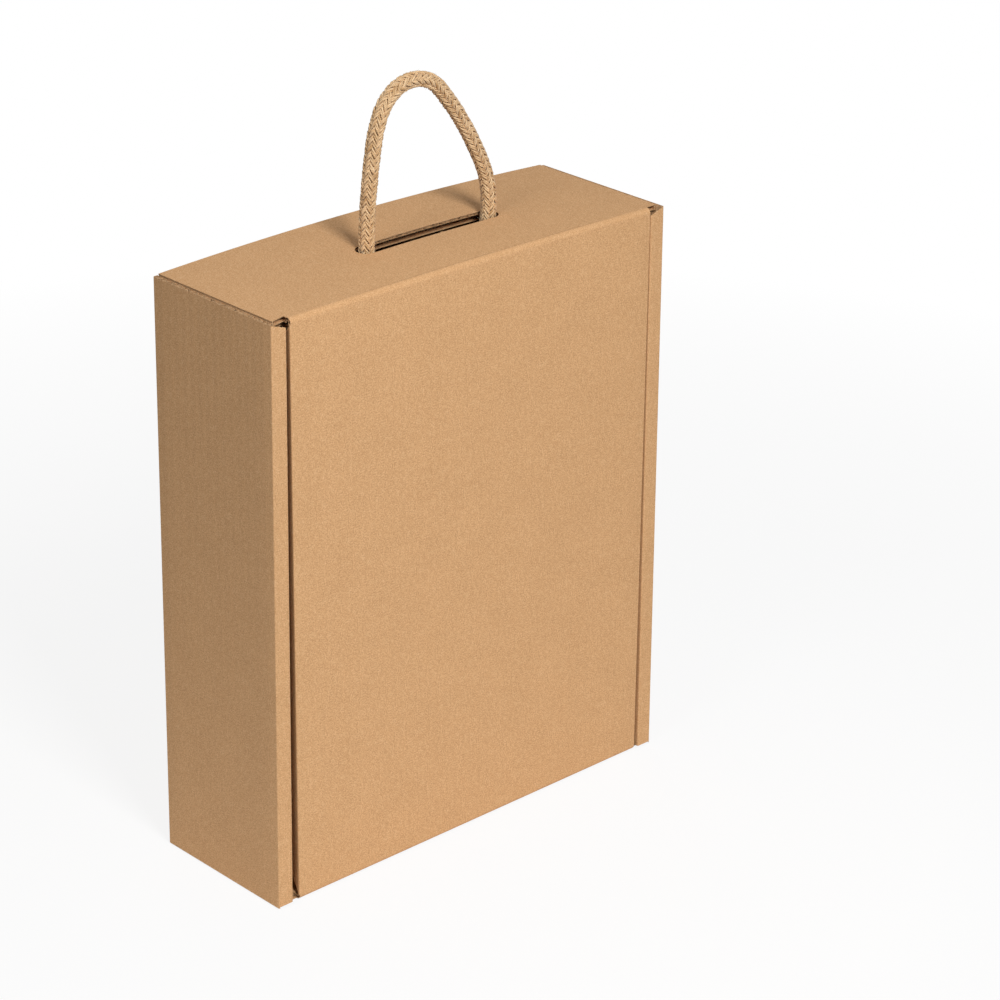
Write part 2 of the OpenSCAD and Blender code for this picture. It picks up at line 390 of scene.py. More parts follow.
def knot_line(x):
    turn = np.linspace(0, 1, 26)
    angle = 2 * math.pi * KNOT_TURNS * turn
    reach = KNOT_R * np.minimum(1, np.minimum(turn, 1 - turn) * 9 + 0.25)
    depth = COIL_TOP + (KNOT_RISE - COIL_TOP - COIL_FOOT) * turn
    coil = np.stack([x + reach * np.cos(angle), reach * np.sin(angle), KNOT_TOP - depth], -1)
    first = [(x, 0.0, KNOT_TOP)]
    last = [(x, 0.0, KNOT_TOP - KNOT_RISE - drop) for drop in (0.5, TAIL * 0.5, TAIL)]
    return smooth_line(np.concatenate([first, coil, last]), 0.6)


legs = [route[0][0], route[-1][0]]
knot_parts = [plait(knot_line(x), 2 + i) for i, x in enumerate(legs)]
knots = piece_from("stopper_knots", knot_parts, "yarn", [jute])

for piece, node in ((handle, "handle_cord"), (knots, "cord_knots")):
    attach(piece, "tray")
    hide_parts(node)

# %% [markdown]
# Corrugated board is a sandwich: two liners of kraft paper with a wavy paper between them. The paper is
# never one flat brown. It has cloudy patches, a fine grain, single fibres that are darker or paler, and
# faint streaks along the machine direction, which is the direction of the flutes. These are common to the
# liner, the raw cut edge and the fluting, so they are one node group with its own colours in each.
# The sheet coordinate of the meshes is in millimetres on the flat blank, so the grain goes round the folds.

# %% Paper group
def paper_group():
    tree, given, result = new_group(
        "kraft_paper",
        [
            ("Sheet", "NodeSocketVector", None),
            ("Base", "NodeSocketColor", (0.6, 0.36, 0.18, 1)),
            ("Cloud", "NodeSocketColor", (0.5, 0.3, 0.14, 1)),
            ("Dark Fibre", "NodeSocketColor", (0.3, 0.17, 0.08, 1)),
            ("Pale Fibre", "NodeSocketColor", (0.8, 0.6, 0.4, 1)),
            ("Streaks", "NodeSocketFloat", 0.3),
        ],
        [("Color", "NodeSocketColor"), ("Height", "NodeSocketFloat"), ("Roughness", "NodeSocketFloat")],
    )
    sheet = given.outputs["Sheet"]
    cloud = noise(tree, sheet, 0.045, 4.0, 0.6)
    grain = noise(tree, sheet, 1.25, 4.0, 0.7)
    fibre = noise(tree, scaled(tree, sheet, (2.6, 0.7, 1.0)), 1.0, 2.0, 0.5)
    cross = noise(tree, scaled(tree, sheet, (0.6, 2.4, 1.0)), 1.0, 2.0, 0.5)
    fleck = noise(tree, scaled(tree, sheet, (0.5, 0.24, 1.0)), 1.0, 4.0, 0.7)
    streak = noise(tree, scaled(tree, sheet, (0.55, 0.012, 0.3)), 1.0, 3.0, 0.6)
    colour = tint(tree, remap(tree, cloud, 0.3, 0.7), given.outputs["Base"], given.outputs["Cloud"])
    lines = math_node(tree, "MULTIPLY", remap(tree, streak, 0.35, 0.65), given.outputs["Streaks"])
    colour = tint(tree, lines, colour, given.outputs["Cloud"])
    marks = (
        (fleck, 0.5, 0.7, 0.22, "Pale Fibre"),
        (fleck, 0.5, 0.3, 0.16, "Dark Fibre"),
        (grain, 0.5, 0.7, 0.62, "Dark Fibre"),
        (grain, 0.5, 0.3, 0.62, "Pale Fibre"),
        (fibre, 0.66, 0.78, 0.3, "Dark Fibre"),
        (cross, 0.66, 0.78, 0.35, "Pale Fibre"),
    )
    for pattern, starts, full, amount, shade in marks:
        colour = tint(tree, remap(tree, pattern, starts, full, 0.0, amount), colour, given.outputs[shade])
    join(tree, colour, result.inputs["Color"])
    join(tree, math_node(tree, "ADD", grain, fibre), result.inputs["Height"])
    join(tree, remap(tree, grain, 0.2, 0.8, 0.78, 0.92), result.inputs["Roughness"])
    return tree


kraft_paper = paper_group()
print("paper group", kraft_paper.name, "of", len(kraft_paper.nodes), "nodes")

# %% [markdown]
# The liner shows the flutes as a faint washboard, so its bump also has the wave of the flutes. The raw
# edge is browner and rougher, and the fluting inside is recycled paper of a darker, duller brown.

# %% Board finishes
BOX_W, FLUTES = 278.0, 44
FLUTE = BOX_W / FLUTES
WASHBOARD_DEEP = 0.0001


def paper_finish(name, colours, streaks, bump_depth, washboard):
    made, tree, shader = new_material(name)
    sheet = add_node(tree, "ShaderNodeAttribute", attribute_name="sheet")
    paper = add_node(tree, "ShaderNodeGroup", node_tree=kraft_paper)
    join(tree, sheet.outputs["Vector"], paper.inputs["Sheet"])
    for label, value in zip(("Base", "Cloud", "Dark Fibre", "Pale Fibre"), colours):
        paper.inputs[label].default_value = (*value, 1)
    paper.inputs["Streaks"].default_value = streaks
    join(tree, paper.outputs["Color"], shader.inputs["Base Color"])
    join(tree, paper.outputs["Roughness"], shader.inputs["Roughness"])
    shader.inputs["Specular IOR Level"].default_value = 0.25
    fine = add_node(tree, "ShaderNodeBump", {"Strength": 0.35, "Distance": bump_depth})
    join(tree, paper.outputs["Height"], fine.inputs["Height"])
    if washboard:
        split = add_node(tree, "ShaderNodeSeparateXYZ")
        join(tree, sheet.outputs["Vector"], split.inputs[0])
        turn = math_node(tree, "MULTIPLY", split.outputs["X"], 2 * math.pi / FLUTE)
        broad = add_node(tree, "ShaderNodeBump", {"Strength": washboard, "Distance": WASHBOARD_DEEP})
        join(tree, math_node(tree, "SINE", turn), broad.inputs["Height"])
        join(tree, broad.outputs["Normal"], fine.inputs["Normal"])
    join(tree, fine.outputs["Normal"], shader.inputs["Normal"])
    return made


LINER_TONES = ((0.66, 0.375, 0.177), (0.61, 0.342, 0.158), (0.33, 0.165, 0.06), (0.88, 0.62, 0.37))
CUT_TONES = ((0.50, 0.305, 0.155), (0.42, 0.25, 0.125), (0.20, 0.10, 0.04), (0.74, 0.53, 0.33))
FLUTE_TONES = ((0.40, 0.24, 0.12), (0.33, 0.19, 0.095), (0.19, 0.10, 0.045), (0.56, 0.38, 0.22))
liner = paper_finish("kraft_liner", LINER_TONES, 0.35, 0.00003, 0.25)
cut = paper_finish("kraft_cut_edge", CUT_TONES, 0.1, 0.00012, 0.0)
fluting = paper_finish("kraft_fluting", FLUTE_TONES, 0.25, 0.00008, 0.0)
board_finishes = [liner, cut, fluting]
ON_LINER, ON_CUT, ON_FLUTING = range(3)
print("board finishes", [m.name for m in board_finishes])

# %% [markdown]
# Every panel is built the same way. A sheet has two coordinates: u runs across the flutes and v along
# them. A grid of columns and bands is laid over the blank, cells that are cut away are left out, and a
# place function carries each point and its depth below the outer face to the folded box. Three closed
# layers make the board: the outer liner, the inner liner and the fluted paper, whose depth follows a wave.
# A solid slab with a bump on its edge was the other way, but the cut edges would show no hollow flutes.

# %% Board builder
BOARD = 3.0
LINER = 0.34
MEDIUM = 0.26
WAVE = (BOARD - 2 * LINER - MEDIUM) / 2
FLUTE_STEPS = 8
COLUMN_GAP = 0.12
STEEPEST = 1.3
CREASE_ANGLE = 35


def level_at(depth):
    """A face of a layer that lies at one depth all over."""
    return lambda u: 0 * u + depth


BETWEEN_LINERS = level_at(LINER), level_at(BOARD - LINER)


def everywhere(u, band):
    return True


def closed_layer(columns, keys, rows, keep, place, top, bottom, face_finish, edge_finish=ON_CUT):
    """One layer of paper between the depths top and bottom, closed along every cut edge."""
    u = np.asarray(columns, float)
    bands = keys(u)
    lines, band_of = [bands[0]], []
    for band, steps in enumerate(rows):
        for step in range(1, steps + 1):
            lines.append(bands[band] + (bands[band + 1] - bands[band]) * step / steps)
            band_of.append(band)
    v = np.stack(lines, axis=1)
    middle = (u[1:] + u[:-1]) / 2
    on = np.array([[bool(keep(m, band)) for band in band_of] for m in middle])
    u = np.repeat(u[:, None], v.shape[1], axis=1)
    count = v.size
    number = np.arange(count).reshape(v.shape)
    i, j = np.nonzero(on)
    face = np.stack([number[i, j], number[i + 1, j], number[i + 1, j + 1], number[i, j + 1]], 1)
    quads, finish = [face, face[:, ::-1] + count], [face_finish, face_finish]
    room = np.pad(on, 1)
    for di, dj, a, b in ((-1, 0, 3, 0), (1, 0, 1, 2), (0, -1, 0, 1), (0, 1, 2, 3)):
        open_edge = ~room[i + 1 + di, j + 1 + dj]
        p, q = face[open_edge, a], face[open_edge, b]
        quads.append(np.stack([q, p, p + count, q + count], 1))
        finish.append(edge_finish)
    points = np.concatenate([place(u, v, depth(u)).reshape(-1, 3) for depth in (top, bottom)])
    coords = np.concatenate([np.stack([u, v, depth(u)], -1).reshape(-1, 3) for depth in (top, bottom)])
    marks = np.concatenate([np.full(len(q), f) for q, f in zip(quads, finish)])
    quads = np.concatenate(quads)
    used, quads = np.unique(quads, return_inverse=True)
    quads = quads.reshape(-1, 4)
    points, coords = points[used], coords[used]
    a, b, c, d = (points[quads[:, k]] for k in range(4))
    volume = np.einsum("ij,ij->i", np.cross(b - a, c - a) + np.cross(c - a, d - a), a).sum()
    if volume < 0:
        quads = quads[:, ::-1]
    return points, quads.tolist(), coords, marks


def board(columns, keys, rows, keep, place, crest=0.0, fluted=None, lined=None):
    """Both liners and the fluting of one sheet. At u = crest the fluting lies on the inner liner.

    All three fill the same cells, unless fluted or lined gives the cells of the fluting or the inner liner.
    """
    columns = np.unique(np.round(columns, 4))
    fine = crest + FLUTE / FLUTE_STEPS * np.arange(
        math.ceil((columns[0] - crest) * FLUTE_STEPS / FLUTE),
        math.floor((columns[-1] - crest) * FLUTE_STEPS / FLUTE) + 1,
    )
    fine = np.concatenate([columns, [f for f in fine if np.abs(columns - f).min() > COLUMN_GAP]])

    def wave(u, side):
        turn = 2 * math.pi * (u - crest) / FLUTE
        lean = np.sqrt(1 + (2 * math.pi * WAVE / FLUTE * np.sin(turn)) ** 2)
        return BOARD / 2 + WAVE * np.cos(turn) + side * MEDIUM / 2 * np.minimum(lean, STEEPEST)

    grid = columns, keys, rows
    medium = (lambda u: wave(u, -1)), (lambda u: wave(u, 1))
    return [
        closed_layer(*grid, keep, place, level_at(0), level_at(LINER), ON_LINER),
        closed_layer(*grid, lined or keep, place, level_at(BOARD - LINER), level_at(BOARD), ON_LINER),
        closed_layer(np.sort(fine), keys, rows, fluted or keep, place, *medium, ON_FLUTING),
    ]


def board_piece(name, layers):
    parts, finishes = [layer[:3] for layer in layers], [layer[3] for layer in layers]
    return piece_from(name, parts, "sheet", board_finishes, finishes, CREASE_ANGLE)


def spread(*stops):
    """Columns through all stops, each given as (position, steps from the one before)."""
    columns = [stops[0][0]]
    for (start, _), (end, steps) in zip(stops, stops[1:]):
        columns += list(np.linspace(start, end, steps + 1)[1:])
    return columns


def round_end(end, radius):
    """Columns for a corner that is rounded towards the end of a sheet."""
    return [end - radius * (1 - math.sin(math.radians(a))) for a in (15, 30, 45, 60, 75, 90)]


print("flute pitch", round(FLUTE, 2), "mm, board", BOARD, "mm")

# %% [markdown]
# The tray's main sheet is one strip that runs along the bottom, up the back and forward over the top. Its
# v coordinate is the way along that strip on the outer face, and quarter rounds at the two back edges are
# the folds. The front of the bottom is cut back behind the lid, the back has four slots for the lock tabs,
# and the top wall has the lower of the two cord slots and cut-off front corners. Under the flap this slot
# reaches further back and the wall rises a little, and along it the flutes end behind the liners, so the
# slot looks dark from above. The side walls lean out at the base, so the sheet widens at its lower end.

# %% Tray wrap
HALF_W, HALF_D = BOX_W / 2, 48.0
PLAY = 0.4
TRAY_HALF = HALF_W - BOARD - PLAY
WALL_TOP = BOX_H - BOARD - PLAY
PANEL_TOP = BOX_H - 0.9
TOP_BOW = 1.1
SLOT_LIFT, LIFT_REACH = 1.3, 20.0
QUARTER = BOARD * math.pi / 2
INNER_X = HALF_W - 3 * BOARD - 2 * PLAY
TAB_SLOT = INNER_X - PLAY, INNER_X + BOARD + PLAY
LID_ENDS = (-127.0, 128.8)
FOOT_SPREAD = 2.3
SLOT_HALF, SLOT_R, SLOT_SET_BACK = 49.5, 6.0, 1.0
GROOVE, GROOVE_END, FAR_CUT = 3.5, 2.0, 3.6
CORNER_CUT, CORNER_DEEP = 124.0, 5.0
MITRE_RUN = 8.0
EAR_Y = 43.0
TABS = ((55.0, 85.0), (250.0, 280.0))

BEND_1 = 2 * HALF_D - BOARD
BACK_0 = BEND_1 + QUARTER
BEND_2 = BACK_0 + WALL_TOP - 2 * BOARD
TOP_0 = BEND_2 + QUARTER
SLOT_V = TOP_0 + HALF_D - BOARD - SLOT_SET_BACK
SHARP_CUT, BAND_SPREAD = 0.15, 0.5


def lean_out(z):
    return FOOT_SPREAD * (1 - z / BOX_H)


def slot_half_width(x):
    """Half width of the cord slot at x, or beyond its ends of a thin band that widens slowly."""
    past = np.abs(x - SLOT_X) - (SLOT_HALF - SLOT_R)
    inside = np.sqrt(np.maximum(SLOT_R**2 - np.maximum(past, 0) ** 2, SHARP_CUT**2))
    outside = np.minimum(SHARP_CUT + BAND_SPREAD * (past - SLOT_R), SLOT_R)
    return np.where(past <= SLOT_R, inside, outside)


def slot_columns():
    angles = np.radians(np.linspace(0, 90, 9))
    ends = SLOT_HALF - SLOT_R + SLOT_R * np.sin(angles)
    return [SLOT_X + side * end for side in (-1, 1) for end in ends]


def tray_wrap_place(u, v, w):
    r = BOARD - w
    rise = TOP_BOW * (1 - (u / TRAY_HALF) ** 2)
    lift = SLOT_LIFT * rise / TOP_BOW * np.exp(-(((v - SLOT_V) / LIFT_REACH) ** 2))
    mitre = np.clip(1 - (v - BOARD) / MITRE_RUN, 0, 1) * (u > LID_ENDS[0]) * (u < LID_ENDS[1])
    turn_1, turn_2 = (v - BEND_1) / BOARD, (v - BEND_2) / BOARD
    back_z = WALL_TOP - BOARD + rise
    climb = (v - BACK_0) * (back_z - BOARD) / (BEND_2 - BACK_0)
    part = [v <= BEND_1, v <= BACK_0, v <= BEND_2, v <= TOP_0]
    y = np.select(
        part,
        [v - HALF_D + w * mitre, HALF_D - BOARD + r * np.sin(turn_1), HALF_D - w,
         HALF_D - BOARD + r * np.cos(turn_2)],
        HALF_D - BOARD - (v - TOP_0),
    )
    z = np.select(
        part,
        [w, BOARD - r * np.cos(turn_1), BOARD + climb, back_z + r * np.sin(turn_2)],
        back_z + BOARD - w + lift,
    )
    return np.stack([u * (1 + lean_out(z) / (HALF_W - BOARD)), y, z], -1)


def tray_wrap_keys(u):
    half = slot_half_width(u)
    fixed = [BOARD, HALF_D - EAR_Y, HALF_D + EAR_Y, BEND_1, BACK_0]
    fixed += [BACK_0 + z - BOARD + grow for tab in TABS for z, grow in zip(tab, (-PLAY, PLAY))]
    fixed += [BEND_2, TOP_0, TOP_0 + HALF_D - BOARD - EAR_Y]
    end = TOP_0 + 2 * (HALF_D - BOARD) - PLAY
    far = half + FAR_CUT * half / SLOT_R * (np.abs(u - SLOT_X) < SLOT_HALF)
    slot = [SLOT_V - far - GROOVE, SLOT_V - far, SLOT_V + half, SLOT_V + half + GROOVE]
    return [0 * u + key for key in fixed] + slot + [0 * u + end - CORNER_DEEP, 0 * u + end]


WRAP_ROWS = [1, 4, 1, 6, 2, 1, 6, 1, 2, 6, 1, 2, 1, 1, 1, 2, 1]
TAB_BANDS, BACK_BANDS, NARROW_BANDS = (5, 7), (4, 6, 8), (1, 11, 12, 14, 15)
SLOT_BAND, CORNER_BAND = 13, 16


def tray_wrap_keep(x, band):
    if band in TAB_BANDS:
        return not TAB_SLOT[0] < abs(x) < TAB_SLOT[1]
    if band in BACK_BANDS:
        return True
    if band == SLOT_BAND:
        return abs(x - SLOT_X) > SLOT_HALF and abs(x) < TRAY_HALF - BOARD
    if band in NARROW_BANDS:
        return abs(x) < TRAY_HALF - BOARD
    if band == CORNER_BAND:
        return abs(x) < CORNER_CUT
    return abs(x) < TRAY_HALF


def tray_wrap_fluted(x, band):
    beside_slot = abs(band - SLOT_BAND) == 1 and abs(x - SLOT_X) < SLOT_HALF - GROOVE_END
    return tray_wrap_keep(x, band) and not beside_slot


wrap_columns = spread((-HALF_W + BOARD, 0), (HALF_W - BOARD, 34)) + slot_columns()
for side in (-1, 1):
    wrap_columns += [side * x for x in (TRAY_HALF, TRAY_HALF - BOARD, *TAB_SLOT)]
wrap_columns += [*LID_ENDS, -CORNER_CUT, CORNER_CUT]
tray_sheet = wrap_columns, tray_wrap_keys, WRAP_ROWS, tray_wrap_keep, tray_wrap_place
tray_layers = board(*tray_sheet, fluted=tray_wrap_fluted)
print("tray wrap", len(tray_layers), "layers,", len(wrap_columns), "columns")

# %% [markdown]
# Each side wall is rolled over: the outer panel folds in at the front into a narrow strip and folds again
# into the inner panel, whose two tabs lock in the back. Its flutes stand upright, so u follows the roll
# seen from above and v is the height. Folds along the flutes come out crisp: their outer radius is smaller
# than the board is thick, so inside them the paper meets in a corner. The strip's top slants to the lid
# and is open, and along the panel's cut top most flutes are pressed shut.

# %% Side walls
FOLD_R = 0.8
FOLD_ARC = FOLD_R * math.pi / 2
FOLD_REST = BOARD - FOLD_R
FOLD_TIGHT, FOLD_CREEP = 0.02, 0.05
ROLL_1 = FOLD_ARC
ROLL_2 = ROLL_1 + 2 * (HALF_D - FOLD_R)
ROLL_3 = ROLL_2 + FOLD_ARC
ROLL_4 = ROLL_3 + HALF_W - INNER_X - 2 * FOLD_R
ROLL_5 = ROLL_4 + FOLD_ARC
ROLL_6 = ROLL_5 + 2 * HALF_D - FOLD_R - BOARD - PLAY
ROLL_7 = ROLL_6 + BOARD + PLAY
PANEL_FOOT, STRIP_FOOT, FLOOR_TOP = 0.3, 1.0, BOARD + PLAY
INNER_TOP = WALL_TOP - BOARD - PLAY
STRIP_SLANT = 3.3
PANEL_MIDDLE, STRIP_MIDDLE = (ROLL_1 + ROLL_2) / 2, (ROLL_3 + ROLL_4) / 2
CRUSHED_BAND = (1.0, 0.3)
ROLL_ROWS = [1, 1, 3, 2, 6, 2, 3, 1]


def fold_in(way, w):
    """Distances of a point in a crisp fold from its first and its second face, way along the arc."""
    turn = np.clip(way / FOLD_R, 0, math.pi / 2)
    middle, r = np.maximum(FOLD_R, w), np.maximum(FOLD_R - w, FOLD_TIGHT)
    return middle - r * np.cos(turn), middle - r * np.sin(turn)


def beside_fold(way, w):
    """Distance from the second face of a point on the first one, way beyond the end of the fold."""
    return np.maximum(FOLD_R + way, w + FOLD_CREEP * way)


def side_place(side):
    def place(u, v, w):
        part = [u < 0, u <= ROLL_1, u < PANEL_MIDDLE, u <= ROLL_2, u <= ROLL_3]
        part += [u < STRIP_MIDDLE, u <= ROLL_4, u <= ROLL_5]
        (back_1, side_1), (side_2, front_2), (front_3, in_3) = (
            fold_in(u - start, w) for start in (0, ROLL_2, ROLL_4)
        )
        x = np.select(
            part,
            [HALF_W - beside_fold(-u, w), HALF_W - side_1, HALF_W - w, HALF_W - w, HALF_W - side_2,
             HALF_W - beside_fold(u - ROLL_3, w), INNER_X + beside_fold(ROLL_4 - u, w), INNER_X + in_3],
            INNER_X + w,
        )
        y = np.select(
            part,
            [HALF_D - w, HALF_D - back_1, HALF_D - beside_fold(u - ROLL_1, w),
             beside_fold(ROLL_2 - u, w) - HALF_D, front_2 - HALF_D, w - HALF_D, w - HALF_D,
             front_3 - HALF_D],
            beside_fold(u - ROLL_5, w) - HALF_D,
        )
        return np.stack([side * (x + lean_out(v)), y, v], -1)

    return place


def side_keys(u):
    slant = np.clip((u - ROLL_3) / (ROLL_5 - ROLL_3), 0, 1)
    fixed = [PANEL_FOOT, STRIP_FOOT, FLOOR_TOP, *TABS[0], *TABS[1], INNER_TOP]
    return [0 * u + key for key in fixed] + [PANEL_TOP - STRIP_SLANT * slant]


def side_keep(u, band):
    if u < ROLL_3:
        return True
    if u < ROLL_5 + FOLD_REST:
        return band >= 1
    if u < ROLL_6:
        return 2 <= band <= 6
    return band in (3, 5)


def side_fluted(u, band):
    return side_keep(u, band) and (u < ROLL_3 or band < 7)


def crushed_keys(u):
    return [0 * u + PANEL_TOP - low for low in CRUSHED_BAND]


def crushed(u, band):
    """Most flutes of the panel's cut top are pressed shut, a few stay open."""
    return math.sin(u * 1.7) + math.sin(u * 0.61 + 1.0) > -0.75


roll_columns = spread(
    (-FOLD_REST, 0), (0, 1), (ROLL_1, 6), (ROLL_2, 9), (ROLL_3, 6), (ROLL_4, 3), (ROLL_5, 6),
    (ROLL_5 + FOLD_REST, 1), (ROLL_6, 9), (ROLL_7, 1),
)
for side in (-1, 1):
    roll = roll_columns, side_keys, ROLL_ROWS, side_keep, side_place(side), ROLL_3
    tray_layers += board(*roll, side_fluted, side_fluted)
    pressed = np.linspace(0, ROLL_2, 120), crushed_keys, [1], crushed, side_place(side)
    tray_layers.append(closed_layer(*pressed, *BETWEEN_LINERS, ON_CUT))
print("side walls rolled over", round(ROLL_7, 1), "mm of board each")

# %% [markdown]
# Four ears fold up from the bottom and down from the top, and lie between the two layers of the side
# walls. Their flutes run from front to back, along the fold, and their free corners are round.

# %% Ears
EAR_LEN, EAR_ROUND = 70.0, 12.0
EAR_END = QUARTER + EAR_LEN


def ear_place(side, upper):
    def place(u, v, w):
        r = BOARD - w
        turn = np.minimum(u, QUARTER) / BOARD
        x = TRAY_HALF - BOARD + r * np.sin(turn)
        z = BOARD - r * np.cos(turn) + np.maximum(u - QUARTER, 0)
        z = WALL_TOP - z if upper else z
        return np.stack([side * (x + lean_out(z)), v, z], -1)

    return place


def ear_keys(u):
    near_end = np.maximum(EAR_ROUND - (EAR_END - u), 0)
    cut_in = EAR_ROUND - np.sqrt(np.maximum(EAR_ROUND**2 - near_end**2, 0))
    return [cut_in - EAR_Y, EAR_Y - cut_in]


ear_columns = spread((0, 0), (QUARTER, 6), (EAR_END - EAR_ROUND, 6)) + round_end(EAR_END, EAR_ROUND)
for side in (-1, 1):
    for upper in (False, True):
        tray_layers += board(ear_columns, ear_keys, [6], everywhere, ear_place(side, upper))

tray = board_piece("tray_board", tray_layers)
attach(tray, "tray")
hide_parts("tray")

# %% [markdown]
# The lid is the front panel. Two wings fold back from its sides and tuck in beside the inner panels. They
# taper near the fold and lean in a little, so that they slip in easily. At the top and the foot the lid's
# end is mitred across the thickness, because a fold of its own continues from there round the crease.

# %% Lid
LID_SHIFT = (LID_ENDS[0] + LID_ENDS[1]) / 2
LID_HALF = LID_ENDS[1] - LID_SHIFT
FRONT_BOW = 1.2
LID_FLAT = LID_HALF - FOLD_R
WING_0 = LID_FLAT + FOLD_ARC
WING_DEEP, WING_ROUND = 45.0 - FOLD_R, 18.0
WING_IN, WING_TAPER = 4.0, 10.0
WING_LEAN = 0.25
LID_WAVES, LID_EASE = 0.16, 40.0
FLAP_HALF = HALF_W - BOARD - 0.2
HAIR = 1e-6


def crease_top(x):
    return BOX_H + FRONT_BOW * (1 - (x / FLAP_HALF) ** 2)


def unevenness(u, v, amount):
    """Slow waves of a sheet that is never quite flat."""
    return amount * (np.sin(u / 31 + 0.6) * np.sin(v / 47 + 1.1) + 0.6 * np.sin(u / 17 - v / 29 + 2.0))


def lid_place(u, v, w):
    past = np.abs(u) - LID_FLAT
    from_front, from_edge = fold_in(past, w)
    flat_in = beside_fold(np.maximum(-past, 0), w)
    wing_in = beside_fold(np.maximum(past - FOLD_ARC, 0), w)
    panel, wing = past <= HAIR, past >= FOLD_ARC - HAIR
    x = LID_SHIFT + np.sign(u) * (LID_HALF - np.select([panel, wing], [flat_in, w], from_edge))
    y = np.select([panel, wing], [w, wing_in], from_front) - HALF_D
    x = x - np.sign(u) * WING_LEAN * np.where(panel, 0, np.maximum(y + HALF_D - FOLD_R, 0))
    top = crease_top(x) - BOARD
    ease = np.sin(math.pi * np.clip(v / BOX_H, 0, 1)) * np.clip(-past / LID_EASE, 0, 1)
    y = y + unevenness(u, v, LID_WAVES) * ease
    z = v + panel * w * np.clip(1 - (v - BOARD) / MITRE_RUN, 0, 1)
    z = z - panel * w * np.clip(1 - (top - v) / MITRE_RUN, 0, 1)
    return np.stack([x, y, z], -1)


def lid_keys(u):
    past = np.abs(u) - WING_0
    near_end = np.maximum(WING_ROUND - (WING_DEEP - past), 0)
    cut_in = WING_ROUND - np.sqrt(np.maximum(WING_ROUND**2 - near_end**2, 0))
    x = LID_SHIFT + np.clip(u, -LID_HALF, LID_HALF)
    top = crease_top(x) - BOARD
    inset = WING_IN + np.clip(past, 0, WING_TAPER) + cut_in * (past > 0)
    return [0 * u + BOARD, inset, BOX_H - inset, top]


def lid_keep(u, band):
    return band == 1 or abs(u) < WING_0


wing_stops = (WING_0, 6), (WING_0 + WING_TAPER, 2), (WING_0 + WING_DEEP - WING_ROUND, 2)
half_columns = spread((0, 0), (LID_FLAT, 14), *wing_stops) + round_end(WING_0 + WING_DEEP, WING_ROUND)
lid_columns = [-u for u in half_columns] + half_columns
lid = board_piece("lid_board", board(lid_columns, lid_keys, [2, 14, 2], lid_keep, lid_place, LID_FLAT))
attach(lid, "lid")
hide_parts("lid")

# %% [markdown]
# The closing flap carries on from the lid and lies over the top wall, between the side panels. The board
# springs up a little in the middle of its width, more at the free back edge than at the crease. Its
# corners are notched behind the front strips. Along the slot for the cord the knife has pressed the board
# flat and shut most of its flutes, and at one place it left a small nick of paper. The flutes are pressed
# shut along the two side edges too.

# %% Closing flap
BACK_BOW = 3.6
FLAP_BACK = HALF_D - 0.5
NOTCH_LEFT, NOTCH_RIGHT, NOTCH_SIDE, NOTCH_BAND = 5.4, 3.3, 3.3, 3.0
FLAP_WAVES, FLAP_EASE = 0.14, 30.0
PRESSED, PRESS_REACH, PRESS_RUN = 0.45, 3.0, 5.0
RIM_REACH, RIM_END = (0.9, 1.8), 3.0
SHUT_IN, SHUT_FRONT, SHUT_BACK = (0.9, 0.04), 3.5, 0.3
NICK_X, NICK_REACH, NICK_THICK = (12.2, 13.8), (-0.2, 0.7), 0.6


def pressed_cut(x, y):
    """Share of the board's thickness that is left where the knife pressed it beside the slot."""
    past = np.clip((np.abs(y) - slot_half_width(x)) / PRESS_REACH, 0, 1)
    along = np.clip((SLOT_HALF - np.abs(x - SLOT_X)) / PRESS_RUN, 0, 1)
    return 1 - PRESSED * along * (1 - past) ** 2


def flap_place(u, v, w):
    back = (v + HALF_D) / (2 * HALF_D)
    bow = FRONT_BOW + (BACK_BOW - FRONT_BOW) * back
    panel = (u > LID_ENDS[0] + HAIR) & (u < LID_ENDS[1] - HAIR)
    mitre = panel * np.clip(1 - (v + HALF_D - BOARD) / MITRE_RUN, 0, 1)
    ease = np.sin(math.pi * np.clip(back, 0, 1)) * np.clip((FLAP_HALF - np.abs(u)) / FLAP_EASE, 0, 1)
    sunk = w * pressed_cut(u, v)
    z = BOX_H + bow * (1 - (u / FLAP_HALF) ** 2) - sunk + unevenness(u, v, FLAP_WAVES) * ease
    return np.stack([u, v + w * mitre, z], -1)


def flap_keys(u):
    half = slot_half_width(u)
    lid_x = np.where(u > 0, LID_ENDS[1], LID_ENDS[0])
    deep = np.where(u > 0, NOTCH_RIGHT, NOTCH_LEFT)
    past = np.clip((np.abs(u) - np.abs(lid_x)) / (FLAP_HALF - np.abs(lid_x)), 0, 1)
    notch = deep + (NOTCH_SIDE - deep) * past - HALF_D
    return [0 * u + BOARD - HALF_D, notch, notch + NOTCH_BAND, -half, half, 0 * u + FLAP_BACK]


def flap_keep(u, band):
    if band == 0:
        return LID_ENDS[0] < u < LID_ENDS[1]
    return band != 3 or abs(u - SLOT_X) > SLOT_HALF


def flap_fluted(u, band):
    return flap_keep(u, band) and (band != 1 or LID_ENDS[0] < u < LID_ENDS[1])


def slot_rims():
    """Flutes pressed shut just behind the two long edges of the slot, with a few left open."""
    columns = np.linspace(SLOT_X - SLOT_HALF + RIM_END, SLOT_X + SLOT_HALF - RIM_END, 90)
    rims = []
    for way in (-1, 1):
        def keys(u):
            return [way * (slot_half_width(u) + reach) for reach in RIM_REACH]

        def shut(u, band):
            return math.sin(u * 1.3) + math.sin(u * 0.47 + way) > -1.1

        rim = columns, keys, [1], shut, flap_place
        rims.append(closed_layer(*rim, *BETWEEN_LINERS, ON_FLUTING, ON_FLUTING))
    return rims


def side_edge_keys(u):
    return [0 * u + SHUT_FRONT - HALF_D, 0 * u + FLAP_BACK - SHUT_BACK]


